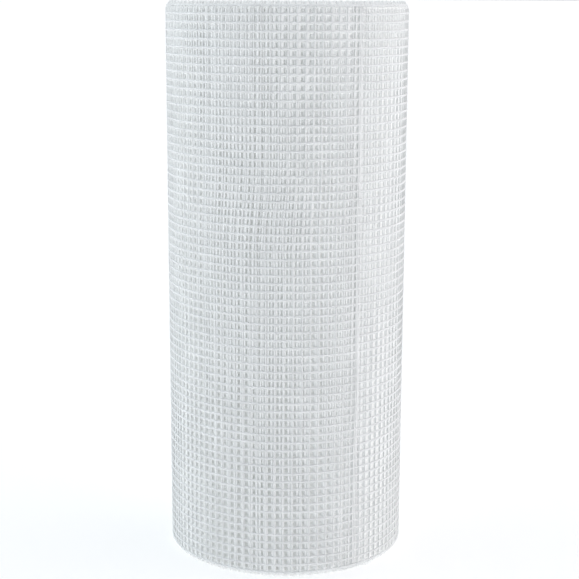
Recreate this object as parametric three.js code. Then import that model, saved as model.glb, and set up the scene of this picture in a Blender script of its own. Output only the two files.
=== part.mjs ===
// A roll of fiberglass mesh that stands on one of its ends.
// One long sheet of open-weave mesh is wound on itself into a thick tube, with nothing inside its bore.
// The wound sheet is one turned solid here. Its turns show on both ends, where the winding tension
// has left them in flat bands with a narrow groove between one band and the next.
// Millimetres, +Z up. The origin is the centre of the end that the roll stands on.
import * as THREE from "three";

// The sheet's width is the roll's height: 70 squares of 5 mm, and the weft ends that stand out past them.
const meshSquare = 5;
const squareCount = 70;
const weftEnd = 2.5;

// The winding. About 50 m of sheet at a third of a millimetre a turn fills the wall between these diameters.
const rollDiameter = 155;
const boreDiameter = 50;

// The turns as they show on the ends: bands that lie flush, and the grooves between them.
const bandWidth = 6.5;
const grooveWidth = 1.2;
const grooveDepth = 1.6;

// The outermost turn is pressed a little inwards where the sheet's edge has been handled.
const rimRounding = 1.5;

const sideCount = 64;
const roundingSteps = 3;

const rollHeight = meshSquare * squareCount + 2 * weftEnd;
const outerRadius = rollDiameter / 2;
const boreRadius = boreDiameter / 2;
const bands = Math.max(1, Math.round((outerRadius - boreRadius) / bandWidth));
const bandPitch = (outerRadius - boreRadius) / bands;

// Half of the roll's section, from the bore outwards along its lower end, with (radius, height) points.
// Every groove is a V that is cut between two bands, and the outer corner is a quarter circle.
function lowerEnd() {
  const points = [new THREE.Vector2(boreRadius, 0)];
  for (let band = 1; band < bands; band += 1) {
    const middle = boreRadius + band * bandPitch;
    points.push(new THREE.Vector2(middle - grooveWidth / 2, 0));
    points.push(new THREE.Vector2(middle, grooveDepth));
    points.push(new THREE.Vector2(middle + grooveWidth / 2, 0));
  }
  for (let step = 0; step <= roundingSteps; step += 1) {
    const turn = (step / roundingSteps) * (Math.PI / 2);
    const radius = outerRadius - rimRounding + rimRounding * Math.sin(turn);
    const height = rimRounding - rimRounding * Math.cos(turn);
    points.push(new THREE.Vector2(radius, height));
  }
  return points;
}

// The upper end is the lower one mirrored, and it is walked back from the outside to the bore.
function upperEnd() {
  return lowerEnd()
    .reverse()
    .map((point) => new THREE.Vector2(point.x, rollHeight - point.y));
}

// The section is closed on itself, so that the solid has its bore right through.
function woundSheet() {
  const section = [...lowerEnd(), ...upperEnd(), new THREE.Vector2(boreRadius, 0)];
  const geometry = new THREE.LatheGeometry(section, sideCount);
  geometry.rotateX(Math.PI / 2);
  return geometry;
}

const whiteGlassYarn = new THREE.MeshStandardMaterial({
  color: new THREE.Color(0.86, 0.89, 0.9),
  roughness: 0.55,
  metalness: 0,
});

const meshRoll = new THREE.Mesh(woundSheet(), whiteGlassYarn);
meshRoll.name = "mesh_roll";

const roll = new THREE.Group();
roll.add(meshRoll);

export default roll;
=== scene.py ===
import math

import bmesh
import bpy
import numpy as np
from mathutils import Matrix, Vector


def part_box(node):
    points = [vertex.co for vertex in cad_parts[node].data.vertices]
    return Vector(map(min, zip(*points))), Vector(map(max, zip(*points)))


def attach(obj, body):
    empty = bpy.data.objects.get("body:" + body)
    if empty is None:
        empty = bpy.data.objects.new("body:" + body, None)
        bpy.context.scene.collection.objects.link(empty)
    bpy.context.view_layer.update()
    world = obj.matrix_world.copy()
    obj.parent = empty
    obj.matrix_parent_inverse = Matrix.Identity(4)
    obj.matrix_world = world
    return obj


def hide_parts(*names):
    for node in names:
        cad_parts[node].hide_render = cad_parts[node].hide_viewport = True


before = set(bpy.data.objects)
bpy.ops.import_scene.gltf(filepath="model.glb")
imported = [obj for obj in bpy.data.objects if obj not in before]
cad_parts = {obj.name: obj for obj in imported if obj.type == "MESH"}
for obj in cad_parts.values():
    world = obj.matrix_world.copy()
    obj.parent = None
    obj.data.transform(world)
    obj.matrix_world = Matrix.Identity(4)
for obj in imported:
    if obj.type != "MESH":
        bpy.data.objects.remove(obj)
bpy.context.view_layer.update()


# The outermost turn's warps: 71 pairs of glass yarn that run round the roll, one at every 5 mm of its
# height. The two yarns of a pair are twisted round each other by half a turn in every square, and
# are held there by their coating. They are woven flat here and wound up afterwards.
MESH_SQUARE = 0.005
WARP_ROWS = 71
WEFT_END = 0.0025
PAIR_HALF_WIDTH = 0.00032
PAIR_HALF_DEPTH = 0.00011
WARP_YARN_WIDTH = 0.00090
WARP_YARN_THICKNESS = 0.00030
STEPS_A_SQUARE = 3
CUT_END = 0.0012
SHEEN = 0.5
FILAMENT_RELIEF = 0.0001
WHITE_GLASS = (0.91, 0.92, 0.92)
# The warp pairs are painted a shade darker than the wefts: painted shade that tones down the light on the
# outer pairs.
WARP_GLASS_PAINTED_DARKER = (0.885, 0.895, 0.90)
# The colour of a painted glow, and how much more of it lies near both edges of the sheet: painted light in
# place of light passing through the glass.
PAINTED_GLOW_COLOUR = (0.95, 1.0, 1.0, 1)
END_GLOW = 0.15
BRIGHT_END = 0.004

# The winding: about 50 m of sheet, a third of a millimetre a turn, clockwise from its free edge. The
# squares of all the turns lie nearly in line at one place on the front, and drift apart from there.
FULL_TURN = 2 * math.pi
BORE_RADIUS = 0.025
HALF_SHEET = 0.0006
TURN_THICKNESS = 0.00034
FREE_EDGE = math.radians(-54.5)
SQUARES_IN_LINE = math.radians(-101)
low_corner, high_corner = (Vector(corner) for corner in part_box("mesh_roll"))
ROLL_HEIGHT = high_corner.z - low_corner.z
WALL = high_corner.x - BORE_RADIUS
SHEET_RADIUS = high_corner.x - HALF_SHEET
LOWEST_WARP = low_corner.z + WEFT_END
HIGHEST_WARP = LOWEST_WARP + (WARP_ROWS - 1) * MESH_SQUARE
TURNS = (SHEET_RADIUS - BORE_RADIUS) / TURN_THICKNESS
SEEN_TURNS = 5
SQUARES_MORE_OR_LESS = (1, -1, 2, -2, 1)
OUT_OF_LINE = (0.18, -0.18, 0.10, -0.28, 0.05)
OUT_OF_LINE_DEEPER = 0.45
SQUARES_PAST_EDGE = 3
SPARE_SQUARES = 40
UNEVEN_SQUARES = 0.06

rng = np.random.default_rng(71)
first_part = FREE_EDGE - SQUARES_IN_LINE
turn_radii = SHEET_RADIUS - TURN_THICKNESS * (np.arange(int(TURNS) + 2) + first_part / FULL_TURN + 0.5)
squares_each_turn = np.round(FULL_TURN * turn_radii / MESH_SQUARE) + rng.integers(-1, 2, len(turn_radii))
squares_each_turn[:SEEN_TURNS] = squares_each_turn[0] + SQUARES_MORE_OR_LESS
first_squares = round(first_part * SHEET_RADIUS / MESH_SQUARE)
square_marks = np.concatenate([[0, first_squares], first_squares + np.cumsum(squares_each_turn)])
angle_marks = np.concatenate([[0, first_part], first_part + FULL_TURN * np.arange(1, len(turn_radii) + 1)])
square_marks[2:] += rng.uniform(-OUT_OF_LINE_DEEPER, OUT_OF_LINE_DEEPER, len(turn_radii))
seen_marks = slice(2, 2 + SEEN_TURNS)
square_marks[seen_marks] = np.round(square_marks[seen_marks]) + OUT_OF_LINE
SQUARES_OUTSIDE = int(np.interp(FULL_TURN, angle_marks, square_marks)) + SQUARES_PAST_EDGE
SQUARES_IN_ALL = int(np.interp(TURNS * FULL_TURN, angle_marks, square_marks))
uneven = rng.normal(0, UNEVEN_SQUARES, SQUARES_IN_ALL + SPARE_SQUARES)

# How the wound sheet departs from a true spiral: its turns have slid along the roll, its yarns wander,
# lean and ripple, the wefts bend at one place on the front, and the rims are pressed inwards. Each
# wave is a size, its rate up the roll, its rate round it, and where it starts.
SLIDE = ((0.00022, 0, 2.3, 0), (0.00012, 0, 4.3, 1), (0.00006, 0, 9.1, 2))
SLIDES_MORE_INSIDE = 0.4
FIRST_TURN_INSIDE = 9
TURNS_TO_MORE = 20
WANDER = ((0.00030, 29, 0.83, 0), (0.00014, 83, 2.3, 1))
RIPPLE = ((0.00010, 190, 5, 0), (0.00007, 90, 13, 0))
LEAN = 0.0015
LEAN_RATE = 0.62
KINK = 0.0030
KINK_MIDDLE = math.radians(-105)
KINK_HALF_WIDTH = math.radians(34)
KINK_TOP = 0.214
KINK_FADE = 0.040
RIM_PRESS = 0.0026
RIM_HEIGHT = 0.0045
LOWER_RIM_STEEPER = 1.3
LOWER_RIM_LESS = 0.0024
EDGE_SETTLED = 0.4
EDGE_SETTLED_WITHIN = 0.12
LOWEST_POINT = 0.0001


def strand(width, thickness, sides, steps, step, upright=False):
    """A straight, flat yarn with closed ends: along x, or upright along z."""
    bm = bmesh.new()
    bmesh.ops.create_circle(bm, segments=sides, radius=0.5 / math.cos(math.pi / sides), cap_ends=True)
    bmesh.ops.rotate(bm, verts=bm.verts, matrix=Matrix.Rotation(math.pi / sides, 3, "Z"))
    bmesh.ops.scale(bm, verts=bm.verts, vec=(width, thickness, 1))
    far_end = bmesh.ops.extrude_face_region(bm, geom=bm.faces[:], use_keep_orig=True)["geom"]
    far_corners = [part for part in far_end if isinstance(part, bmesh.types.BMVert)]
    bmesh.ops.translate(bm, verts=far_corners, vec=(0, 0, step * steps))
    long_edges = [edge for edge in bm.edges if abs(edge.verts[0].co.z - edge.verts[1].co.z) > step / 2]
    if steps > 1:
        bmesh.ops.subdivide_edges(bm, edges=long_edges, cuts=steps - 1)
    bmesh.ops.recalc_face_normals(bm, faces=bm.faces)
    if not upright:
        bmesh.ops.rotate(bm, verts=bm.verts, matrix=Matrix.Rotation(math.pi / 2, 3, "Y"))
    mesh = bpy.data.meshes.new("strand")
    bm.to_mesh(mesh)
    bm.free()
    return mesh


def repeated(mesh, count, offset):
    """Copies of a yarn side by side, joined into one mesh."""
    holder = bpy.data.objects.new("holder", mesh)
    bpy.context.collection.objects.link(holder)
    array = holder.modifiers.new("copies", "ARRAY")
    array.count = count
    array.use_relative_offset = False
    array.use_constant_offset = True
    array.constant_offset_displace = offset
    graph = bpy.context.evaluated_depsgraph_get()
    joined = bpy.data.meshes.new_from_object(holder.evaluated_get(graph))
    bpy.data.objects.remove(holder)
    bpy.data.meshes.remove(mesh)
    return joined


def points_of(mesh):
    flat = np.empty(len(mesh.vertices) * 3)
    mesh.vertices.foreach_get("co", flat)
    return flat.reshape(-1, 3)


def move_points(mesh, points):
    mesh.vertices.foreach_set("co", points.astype(np.float32).ravel())
    mesh.update()


def eased(value):
    value = np.clip(value, 0, 1)
    return value * value * (3 - 2 * value)


def laid_over(waves, up, round_it):
    """Slow waves laid over one another."""
    return sum(size * np.sin(up * rate_up + round_it * rate_round + start)
               for size, rate_up, rate_round, start in waves)


def slid(angle):
    """How far a turn has slid along the roll: little outside, where the rings stay in line."""
    turn = angle / FULL_TURN
    more = SLIDES_MORE_INSIDE * eased((turn - FIRST_TURN_INSIDE) / TURNS_TO_MORE)
    return laid_over(SLIDE, 0, turn) * (1 + more)


def wind(mesh):
    """Winds flat weaving up: x runs along the sheet, y is its outer side and z its height."""
    points = points_of(mesh)
    woven = mesh.attributes.new("woven", "FLOAT_VECTOR", "POINT")
    woven.data.foreach_set("vector", points.astype(np.float32).ravel())
    square, out, height = points[:, 0] / MESH_SQUARE, points[:, 1], points[:, 2]
    square = square + np.interp(square, np.arange(len(uneven)), uneven)
    angle = np.interp(square, square_marks, angle_marks)
    angle = np.where(square < 0, square * MESH_SQUARE / SHEET_RADIUS, angle)
    azimuth = FREE_EDGE - angle
    from_kink = (azimuth - KINK_MIDDLE + math.pi) % FULL_TURN - math.pi
    kink = KINK * np.exp(-((from_kink / KINK_HALF_WIDTH) ** 2)) * (1 - eased((height - KINK_TOP) / KINK_FADE))
    lean = LEAN * np.sin(LEAN_RATE * angle) * height / ROLL_HEIGHT
    azimuth = azimuth - (kink + laid_over(WANDER, height, angle) + lean) / SHEET_RADIUS
    from_lower_rim = LOWER_RIM_STEEPER * height + LOWER_RIM_LESS
    from_rim = np.where(height > ROLL_HEIGHT / 2, ROLL_HEIGHT - height, from_lower_rim)
    radius = SHEET_RADIUS - TURN_THICKNESS * angle / FULL_TURN + out
    settled = EDGE_SETTLED * TURN_THICKNESS * np.exp(-np.abs(angle) / EDGE_SETTLED_WITHIN)
    pressed = RIM_PRESS * eased(1 - from_rim / RIM_HEIGHT) * (radius - BORE_RADIUS) / WALL
    radius = radius - settled - pressed
    ripple = laid_over(RIPPLE, height, azimuth)
    points[:, 0] = radius * np.cos(azimuth)
    points[:, 1] = radius * np.sin(azimuth)
    points[:, 2] = np.maximum(height + slid(angle) + ripple, LOWEST_POINT)
    move_points(mesh, points)
    mesh.shade_smooth()
    return mesh


def white_glass(name, roughness):
    """Glass fibre as such: white and soft at grazing light, with a painted glow in place of the light that
    real glass lets through.
    """
    material = bpy.data.materials.new(name)
    material.use_nodes = True
    nodes, links = material.node_tree.nodes, material.node_tree.links
    shader = nodes["Principled BSDF"]
    shader.inputs["Roughness"].default_value = roughness
    shader.inputs["Sheen Weight"].default_value = SHEEN
    shader.inputs["Sheen Roughness"].default_value = 0.6
    shader.inputs["Emission Color"].default_value = PAINTED_GLOW_COLOUR
    return material, nodes, links, shader


def glass_yarn(name, colour, filament_scale, glow=0.0, patch_scale=60.0, darkest=0.92):
    """Yarn of fine filaments under a thin, half-gloss coating, in paler and darker patches.

    Glow is a painted glow in place of the light that glass lets through, painted stronger near both edges of
    the sheet.
    """
    material, nodes, links, shader = white_glass(name, 0.5)
    shader.inputs["Coat Weight"].default_value = 0.12
    shader.inputs["Coat Roughness"].default_value = 0.35
    woven = nodes.new("ShaderNodeAttribute")
    woven.attribute_name = "woven"
    across = nodes.new("ShaderNodeSeparateXYZ")
    from_edge = nodes.new("ShaderNodeMath")
    from_edge.operation = "PINGPONG"
    from_edge.inputs[1].default_value = ROLL_HEIGHT / 2
    brighter_ends = nodes.new("ShaderNodeMapRange")
    brighter_ends.inputs["From Max"].default_value = BRIGHT_END
    brighter_ends.inputs["To Min"].default_value = glow + END_GLOW
    brighter_ends.inputs["To Max"].default_value = glow
    along = nodes.new("ShaderNodeMapping")
    along.inputs["Scale"].default_value = filament_scale
    filaments = nodes.new("ShaderNodeTexNoise")
    filaments.inputs["Scale"].default_value = 1.0
    filaments.inputs["Detail"].default_value = 3.0
    patches = nodes.new("ShaderNodeTexNoise")
    patches.inputs["Scale"].default_value = patch_scale
    patches.inputs["Detail"].default_value = 2.0
    patch_edges = nodes.new("ShaderNodeMapRange")
    patch_edges.inputs["From Min"].default_value = 0.36
    patch_edges.inputs["From Max"].default_value = 0.64
    tint = nodes.new("ShaderNodeMix")
    tint.data_type = "RGBA"
    tint.inputs["A"].default_value = (*[darkest * channel for channel in colour], 1)
    tint.inputs["B"].default_value = (*colour, 1)
    relief = nodes.new("ShaderNodeBump")
    relief.inputs["Strength"].default_value = 0.25
    relief.inputs["Distance"].default_value = FILAMENT_RELIEF
    links.new(woven.outputs["Vector"], across.inputs["Vector"])
    links.new(across.outputs["Z"], from_edge.inputs[0])
    links.new(from_edge.outputs["Value"], brighter_ends.inputs["Value"])
    links.new(brighter_ends.outputs["Result"], shader.inputs["Emission Strength"])
    links.new(woven.outputs["Vector"], along.inputs["Vector"])
    links.new(along.outputs["Vector"], filaments.inputs["Vector"])
    links.new(woven.outputs["Vector"], patches.inputs["Vector"])
    links.new(patches.outputs["Fac"], patch_edges.inputs["Value"])
    links.new(patch_edges.outputs["Result"], tint.inputs["Factor"])
    links.new(tint.outputs["Result"], shader.inputs["Base Color"])
    links.new(filaments.outputs["Fac"], relief.inputs["Height"])
    links.new(relief.outputs["Normal"], shader.inputs["Normal"])
    return material


def finished(name, mesh, material):
    piece = bpy.data.objects.new(name, mesh)
    bpy.context.collection.objects.link(piece)
    mesh.materials.clear()
    mesh.materials.append(material)
    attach(piece, "root")
    return piece


ALONG_WARP = (150, 4000, 9000)
warp_yarn = glass_yarn("warp_yarn", WARP_GLASS_PAINTED_DARKER, ALONG_WARP)
step = MESH_SQUARE / STEPS_A_SQUARE
for side, name in ((1, "warp_yarns_over"), (-1, "warp_yarns_under")):
    yarn = strand(WARP_YARN_WIDTH, WARP_YARN_THICKNESS, 4, SQUARES_OUTSIDE * STEPS_A_SQUARE, step)
    yarns = repeated(yarn, WARP_ROWS, (0, 0, MESH_SQUARE))
    points = points_of(yarns)
    twist = math.pi * points[:, 0] / MESH_SQUARE
    points[:, 1] += side * PAIR_HALF_DEPTH * np.cos(twist)
    points[:, 2] += side * PAIR_HALF_WIDTH * np.sin(twist) + LOWEST_WARP
    points[:, 0] -= np.where(points[:, 0] < step / 2, CUT_END, 0)
    move_points(yarns, points)
    warps = finished(name, wind(yarns), warp_yarn)
    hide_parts("mesh_roll")


# The outermost turn's wefts: single flat yarns that stand upright, one in every square, each held
# between the two yarns of the pairs. Their cut ends stand out past the sheet's two edges.
WEFT_YARN_WIDTH = 0.0009
WEFT_YARN_THICKNESS = 0.00026
ALONG_WEFT = (9000, 4000, 150)
weft_yarn = glass_yarn("weft_yarn", WHITE_GLASS, ALONG_WEFT)
yarn = strand(WEFT_YARN_WIDTH, WEFT_YARN_THICKNESS, 6, WARP_ROWS, ROLL_HEIGHT / WARP_ROWS, upright=True)
wefts = repeated(yarn, SQUARES_OUTSIDE, (MESH_SQUARE, 0, 0))
finished("weft_yarns_outer_turn", wind(wefts), weft_yarn)


# The loose end: the lowest pair's yarn has come out of the weave past the free edge. It is the same
# glass yarn, still held by the wefts behind it, and it stands off a little and hangs round the rim.
LOOSE_LENGTH = 0.015
LOOSE_STEPS = 12
STANDS_OFF = 0.0017
STANDS_OFF_BEND = 2.6
HANGS_DOWN = 0.0019
HANGS_SOONER = 1.6
loose = strand(WARP_YARN_WIDTH, WARP_YARN_THICKNESS, 6, LOOSE_STEPS, LOOSE_LENGTH / LOOSE_STEPS)
points = points_of(loose)
along = 1 - points[:, 0] / LOOSE_LENGTH
points[:, 0] -= LOOSE_LENGTH
points[:, 1] += STANDS_OFF * np.sin(STANDS_OFF_BEND * along)
points[:, 2] += LOWEST_WARP - HANGS_DOWN * eased(HANGS_SOONER * along)
move_points(loose, points)
finished("loose_yarn", wind(loose), warp_yarn)


# The sheet's cut edge: two more wefts of the same flat glass yarn. Nothing holds them past the last
# square, so they have slid together there, and lie on the turn below as a light upright line.
WEFTS_APART = 0.0011
WEFTS_BEHIND_EDGE = 0.0010
WEFTS_STRAY = 0.0003
WEFTS_STRAY_RATE = 40
WEFTS_STAND_OUT = 0.00012
yarn = strand(WEFT_YARN_WIDTH, WEFT_YARN_THICKNESS, 6, WARP_ROWS, ROLL_HEIGHT / WARP_ROWS, upright=True)
wefts = repeated(yarn, 2, (WEFTS_APART, 0, 0))
points = points_of(wefts)
points[:, 0] += WEFTS_BEHIND_EDGE + WEFTS_STRAY * np.sin(WEFTS_STRAY_RATE * points[:, 2])
points[:, 1] += WEFTS_STAND_OUT
move_points(wefts, points)
finished("weft_yarns_cut_edge", wind(wefts), weft_yarn)


# The wefts of the next turns, which show through the squares in other places on every turn. They are
# painted whiter than the outer yarns and given a painted glow: painted light that lifts the shade of
# the deeper turns. Each bends most at the rims, so two short steps are laid there.
STEPS_DEEPER = 16
RIM_STEP = 0.0025
INSIDE_PAINTED_WHITER = (0.93, 0.94, 0.94)
INNER_GLOW = 0.08
INNER_WIDTH = 0.0012


def rim_steps(step):
    """The heights of the two steps that lie next to each rim."""
    return np.array([0, step, 2 * step, ROLL_HEIGHT - 2 * step, ROLL_HEIGHT - step, ROLL_HEIGHT])


inner_yarn = glass_yarn("inner_yarn", INSIDE_PAINTED_WHITER, ALONG_WEFT, INNER_GLOW)
last_seen = int(np.interp(SEEN_TURNS * FULL_TURN, angle_marks, square_marks))
yarn = strand(INNER_WIDTH, WEFT_YARN_THICKNESS, 4, STEPS_DEEPER, ROLL_HEIGHT / STEPS_DEEPER, upright=True)
wefts = repeated(yarn, last_seen - SQUARES_OUTSIDE, (MESH_SQUARE, 0, 0))
points = points_of(wefts)
points[:, 2] = np.interp(points[:, 2], rim_steps(ROLL_HEIGHT / STEPS_DEEPER), rim_steps(RIM_STEP))
points[:, 0] += SQUARES_OUTSIDE * MESH_SQUARE
move_points(wefts, points)
finished("weft_yarns_inner_turns", wind(wefts), inner_yarn)


# The warps of the turn under the outermost: twisted pairs of glass yarn as well. They lie right under
# the outer pairs and hardly show, so each pair is one flat strand here.
PAIR_WIDTH = 0.0014
yarn = strand(PAIR_WIDTH, WARP_YARN_THICKNESS, 4, SQUARES_OUTSIDE, MESH_SQUARE)
yarns = repeated(yarn, WARP_ROWS, (0, 0, MESH_SQUARE))
points = points_of(yarns)
points += (SQUARES_OUTSIDE * MESH_SQUARE, 0, LOWEST_WARP)
move_points(yarns, points)
# The same painted whiter colour and painted glow as the inner wefts: painted light on a deeper turn.
inner_warp = glass_yarn("inner_warp", INSIDE_PAINTED_WHITER, ALONG_WARP, INNER_GLOW)
finished("warp_yarns_second_turn", wind(yarns), inner_warp)


# The sheet's two edges on all the inner turns: the last pair of every turn, wound as one spiral, and
# the weft ends that stand out past it. They make the rings and the short bristles on both ends.
EDGE_STRAND_WIDTH = 0.0013
EDGE_STRAND_THICKNESS = 0.00028
SQUARES_A_STRAND = 90
# The yarns on the ends and in the bore are painted whiter still, with the inner yarns' painted glow: painted
# light that lifts the shade among the close-packed ends.
ENDS_PAINTED_WHITER = (0.95, 0.96, 0.97)
END_ROOT = 0.0045
SHORTER_INSIDE = 0.0011
END_LEANS = 0.0004
END_BENDS = 0.00012
END_UNEVEN = 0.0003
END_LONGER = 0.0004
GROOVE_DEPTH = 0.0014
GROOVE_HALF_WIDTH = 0.0008
TURNS_A_PATCH = 1.6
DARKEST_TURN = 0.8
BANDS = 8
BAND_PITCH = WALL / BANDS


def groove(square):
    """How much deeper the turns lie where the winding has left a groove between two bands."""
    angle = np.interp(square, square_marks, angle_marks)
    radius = SHEET_RADIUS - TURN_THICKNESS * angle / FULL_TURN
    from_groove = (radius - BORE_RADIUS + BAND_PITCH / 2) % BAND_PITCH - BAND_PITCH / 2
    within = (radius < high_corner.x - BAND_PITCH / 2) & (radius > BORE_RADIUS + BAND_PITCH / 2)
    return GROOVE_DEPTH * np.exp(-((from_groove / GROOVE_HALF_WIDTH) ** 2)) * within


end_warp = glass_yarn("end_warp", ENDS_PAINTED_WHITER, ALONG_WARP, INNER_GLOW, TURNS_A_PATCH, DARKEST_TURN)
end_weft = glass_yarn("end_weft", ENDS_PAINTED_WHITER, ALONG_WEFT, INNER_GLOW, TURNS_A_PATCH, DARKEST_TURN)
for end, name in ((1, "top"), (-1, "bottom")):
    yarn = strand(EDGE_STRAND_WIDTH, EDGE_STRAND_THICKNESS, 4, SQUARES_A_STRAND, MESH_SQUARE)
    strands = round((SQUARES_IN_ALL - SQUARES_OUTSIDE) / SQUARES_A_STRAND)
    yarn = repeated(yarn, strands, (SQUARES_A_STRAND * MESH_SQUARE, 0, 0))
    points = points_of(yarn)
    points += (SQUARES_OUTSIDE * MESH_SQUARE, 0, HIGHEST_WARP if end == 1 else LOWEST_WARP)
    points[:, 2] -= end * groove(points[:, 0] / MESH_SQUARE)
    move_points(yarn, points)
    finished(f"edge_warp_{name}", wind(yarn), end_warp)

    stub = strand(WEFT_YARN_WIDTH, WEFT_YARN_THICKNESS, 3, 1, END_ROOT, upright=True)
    stubs = repeated(stub, SQUARES_IN_ALL - last_seen, (MESH_SQUARE, 0, 0))
    points = points_of(stubs)
    points[:, 0] += last_seen * MESH_SQUARE
    index = np.rint(points[:, 0] / MESH_SQUARE).astype(int) - last_seen
    tip = points[:, 2] > END_ROOT / 2
    count = SQUARES_IN_ALL - last_seen + 1
    lean, bend = rng.normal(0, END_LEANS, count), rng.normal(0, END_BENDS, count)
    longer = np.minimum(rng.normal(0, END_UNEVEN, count), END_LONGER)
    points[:, 0] += tip * lean[index]
    points[:, 1] += tip * bend[index]
    reach = tip * (END_ROOT - SHORTER_INSIDE + longer[index] - groove(points[:, 0] / MESH_SQUARE))
    points[:, 2] = ROLL_HEIGHT - END_ROOT + reach if end == 1 else END_ROOT - reach
    move_points(stubs, points)
    if end == -1:
        stubs.flip_normals()
    finished(f"weft_ends_{name}", wind(stubs), end_weft)


# The innermost turn, which is the wall of the bore: the same pairs and wefts of glass yarn, seen from
# inside. The wefts of the turn behind it show through its squares, so they are laid as well.
bore_first = int(np.interp((TURNS - 1) * FULL_TURN, angle_marks, square_marks))
bore_squares = SQUARES_IN_ALL - bore_first
yarn = strand(PAIR_WIDTH, WARP_YARN_THICKNESS, 4, bore_squares, MESH_SQUARE)
yarns = repeated(yarn, WARP_ROWS, (0, 0, MESH_SQUARE))
points = points_of(yarns)
points += (bore_first * MESH_SQUARE, 0, LOWEST_WARP)
move_points(yarns, points)
finished("warp_yarns_bore", wind(yarns), end_warp)
yarn = strand(WEFT_YARN_WIDTH, WEFT_YARN_THICKNESS, 4, STEPS_DEEPER, ROLL_HEIGHT / STEPS_DEEPER, upright=True)
wefts = repeated(yarn, bore_squares * 2, (MESH_SQUARE, 0, 0))
points = points_of(wefts)
points[:, 0] += (bore_first - bore_squares) * MESH_SQUARE
move_points(wefts, points)
finished("weft_yarns_bore", wind(wefts), end_weft)


# The turns between those two: the same glass sheet wound tight, whose pairs lie on each other in 71
# solid rings, with shallow rows of squares between them on both sides. The rows are deeper where the
# squares of all the turns lie in line, because one sees farther in there.
RING_CREST = SHEET_RADIUS - 1.3 * TURN_THICKNESS
RING_ROOT = SHEET_RADIUS - 1.8 * TURN_THICKNESS
BORE_CREST = BORE_RADIUS + 1.5 * TURN_THICKNESS
BORE_ROOT = BORE_RADIUS + 5 * TURN_THICKNESS
RING_HALF = 0.0008
RING_FOOT = 0.0019
INSET = 0.0007
# A painted shade: the darker colour of a thin line where one turn meets the next.
PAINTED_SHADE_BETWEEN_TURNS = (0.86, 0.86, 0.84)
GROOVE_FLOOR = 0.0012
DEEPER = 0.0028
DEEPER_WITHIN = math.radians(33)
RIM_RINGS_BACK = 0.0003
LOWER_CORNER_BACK = 0.0005
UPPER_CORNER_BACK = 0.0010
SAME_RADIUS = 0.0001
STEPS_ROUND = 96
bm = bmesh.new()
outside, inside = [], []
for row in range(1, WARP_ROWS - 1):
    z = LOWEST_WARP + row * MESH_SQUARE
    outside += [(RING_ROOT, z - RING_FOOT), (RING_CREST, z - RING_HALF)]
    outside += [(RING_CREST, z + RING_HALF), (RING_ROOT, z + RING_FOOT)]
    inside += [(BORE_ROOT, z - RING_FOOT), (BORE_CREST, z), (BORE_ROOT, z + RING_FOOT)]
lower, upper = LOWEST_WARP + INSET, HIGHEST_WARP - INSET
top, bottom = [(RING_CREST - UPPER_CORNER_BACK, upper)], []
for band in range(BANDS - 1, 0, -1):
    radius = BORE_RADIUS + band * BAND_PITCH
    for offset, sunk in ((GROOVE_HALF_WIDTH, 0), (0, GROOVE_FLOOR), (-GROOVE_HALF_WIDTH, 0)):
        top.append((radius + offset, upper - sunk))
        bottom.append((radius + offset, lower + sunk))
top.append((BORE_ROOT, upper))
bottom.append((BORE_ROOT, lower))
outline = [(RING_CREST - LOWER_CORNER_BACK, lower), (RING_CREST - RIM_RINGS_BACK, lower + RING_HALF)]
outline += [(RING_ROOT, lower + RING_FOOT)] + outside
outline += [(RING_ROOT, upper - RING_FOOT), (RING_CREST - RIM_RINGS_BACK, upper - RING_HALF)]
outline += top + inside[::-1] + bottom[::-1]
corners = [bm.verts.new((radius, 0, z)) for radius, z in outline]
edges = [bm.edges.new((a, b)) for a, b in zip(corners, corners[1:] + corners[:1])]
bmesh.ops.spin(bm, geom=corners + edges, cent=(0, 0, 0), axis=(0, 0, 1), angle=FULL_TURN,
               steps=STEPS_ROUND, use_merge=True)
for corner in bm.verts:
    azimuth = math.atan2(corner.co.y, corner.co.x)
    radius = corner.co.xy.length
    outer = radius > RING_ROOT - SAME_RADIUS
    lower_turn = outer * TURN_THICKNESS * ((FREE_EDGE - azimuth) % FULL_TURN) / FULL_TURN
    if abs(radius - RING_ROOT) < SAME_RADIUS:
        from_line = (azimuth - SQUARES_IN_LINE + math.pi) % FULL_TURN - math.pi
        lower_turn += DEEPER * math.exp(-((from_line / DEEPER_WITHIN) ** 2))
    corner.co.x -= lower_turn * math.cos(azimuth)
    corner.co.y -= lower_turn * math.sin(azimuth)
bmesh.ops.recalc_face_normals(bm, faces=bm.faces)
rings = bpy.data.meshes.new("wound_rings")
bm.to_mesh(rings)
bm.free()

# The rings take the inner yarns' painted whiter colour and painted glow: painted light on the turns deep in
# the roll.
wound_rings, nodes, links, shader = white_glass("wound_rings", 0.6)
shader.inputs["Emission Strength"].default_value = INNER_GLOW
place = nodes.new("ShaderNodeTexCoord")
flat = nodes.new("ShaderNodeMapping")
flat.inputs["Scale"].default_value = (1, 1, 0)
reach = nodes.new("ShaderNodeVectorMath")
reach.operation = "LENGTH"
turns = nodes.new("ShaderNodeMath")
turns.operation = "PINGPONG"
turns.inputs[1].default_value = TURN_THICKNESS / 2
depth = nodes.new("ShaderNodeMapRange")
depth.inputs["From Max"].default_value = TURN_THICKNESS / 2
# Painted shade: the colour darkens towards each turn's edge, where one turn meets the next.
shade = nodes.new("ShaderNodeMix")
shade.data_type = "RGBA"
shade.inputs["A"].default_value = (*PAINTED_SHADE_BETWEEN_TURNS, 1)
shade.inputs["B"].default_value = (*INSIDE_PAINTED_WHITER, 1)
links.new(place.outputs["Object"], flat.inputs["Vector"])
links.new(flat.outputs["Vector"], reach.inputs[0])
links.new(reach.outputs["Value"], turns.inputs[0])
links.new(turns.outputs["Value"], depth.inputs["Value"])
links.new(depth.outputs["Result"], shade.inputs["Factor"])
links.new(shade.outputs["Result"], shader.inputs["Base Color"])
finished("wound_rings", rings, wound_rings)


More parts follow.
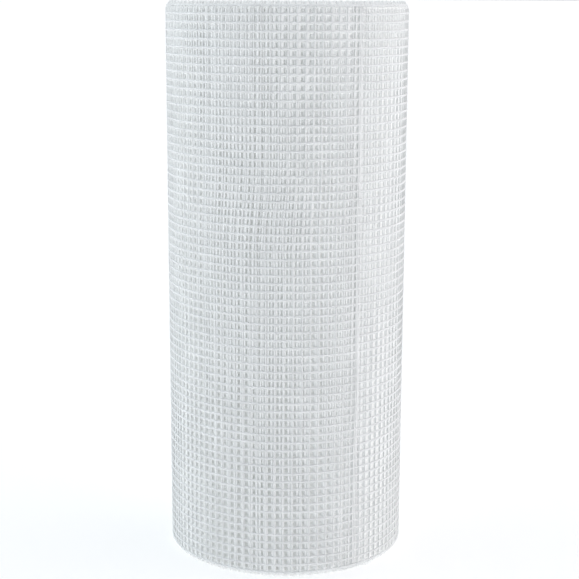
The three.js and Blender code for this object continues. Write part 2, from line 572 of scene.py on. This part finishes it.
# The floor that the roll stands on: plain matt white paper. It is so wide that its far edge stays out
# of sight, and a little light of its own keeps it as white as the photograph's background.
FLOOR_HALF_WIDTH = 400
FLOOR_GLOW = 0.25
WHITE_PAPER = (0.97, 0.97, 0.97)
bm = bmesh.new()
bmesh.ops.create_grid(bm, x_segments=1, y_segments=1, size=FLOOR_HALF_WIDTH)
floor_mesh = bpy.data.meshes.new("floor")
bm.to_mesh(floor_mesh)
bm.free()
floor = bpy.data.objects.new("floor", floor_mesh)
bpy.context.collection.objects.link(floor)
paper = bpy.data.materials.new("paper")
paper.use_nodes = True
shader = paper.node_tree.nodes["Principled BSDF"]
shader.inputs["Base Color"].default_value = (*WHITE_PAPER, 1)
shader.inputs["Roughness"].default_value = 0.9
shader.inputs["Emission Color"].default_value = (1, 1, 1, 1)
shader.inputs["Emission Strength"].default_value = FLOOR_GLOW
floor_mesh.materials.append(paper)


# The studio light: soft and nearly white all round. It grows towards both sides of the roll, with the
# square of the distance sideways, and is a little stronger behind and warmer at the right.
ALL_ROUND = (0.400, 0.414, 0.431)
MORE_AT_RIGHT = (0.12, 0.05, 0.03)
MORE_BEHIND = (0.22, 0.22, 0.22)
MORE_AT_SIDES = (1.57, 1.60, 1.63)
world = bpy.data.worlds.new("studio")
bpy.context.scene.world = world
world.use_nodes = True
nodes, links = world.node_tree.nodes, world.node_tree.links
sky = nodes["Background"]
direction = nodes.new("ShaderNodeTexCoord")
axes = nodes.new("ShaderNodeSeparateXYZ")
to_right = nodes.new("ShaderNodeVectorMath")
to_back = nodes.new("ShaderNodeVectorMath")
both_sides = nodes.new("ShaderNodeVectorMath")
sideways = nodes.new("ShaderNodeMath")
sideways.operation = "MULTIPLY"
to_right.operation = to_back.operation = both_sides.operation = "MULTIPLY_ADD"
to_right.inputs[1].default_value = MORE_AT_RIGHT
to_right.inputs[2].default_value = ALL_ROUND
to_back.inputs[1].default_value = MORE_BEHIND
both_sides.inputs[1].default_value = MORE_AT_SIDES
links.new(direction.outputs["Generated"], axes.inputs["Vector"])
links.new(axes.outputs["X"], to_right.inputs[0])
links.new(axes.outputs["Y"], to_back.inputs[0])
links.new(to_right.outputs["Vector"], to_back.inputs[2])
links.new(axes.outputs["X"], sideways.inputs[0])
links.new(axes.outputs["X"], sideways.inputs[1])
links.new(sideways.outputs["Value"], both_sides.inputs[0])
links.new(to_back.outputs["Vector"], both_sides.inputs[2])
links.new(both_sides.outputs["Vector"], sky.inputs["Color"])


# The camera, at the photograph's angle: in front of the roll and level with its top, looking down at
# it, and turned by a fifth of a degree. Its place and lens come from a perspective fit.
LENS = 87.54
CAMERA_PLACE = (0.0013, -0.908, 0.3565)
LOOKS_DOWN = math.radians(11.684)
TURNED = math.radians(-0.2)
camera_data = bpy.data.cameras.new("camera")
camera_data.sensor_width = 36
camera_data.lens = LENS
camera = bpy.data.objects.new("camera", camera_data)
bpy.context.collection.objects.link(camera)
camera.location = CAMERA_PLACE
camera.rotation_euler = (math.pi / 2 - LOOKS_DOWN, TURNED, 0)
bpy.context.scene.camera = camera
bpy.context.scene.view_settings.view_transform = "Standard"
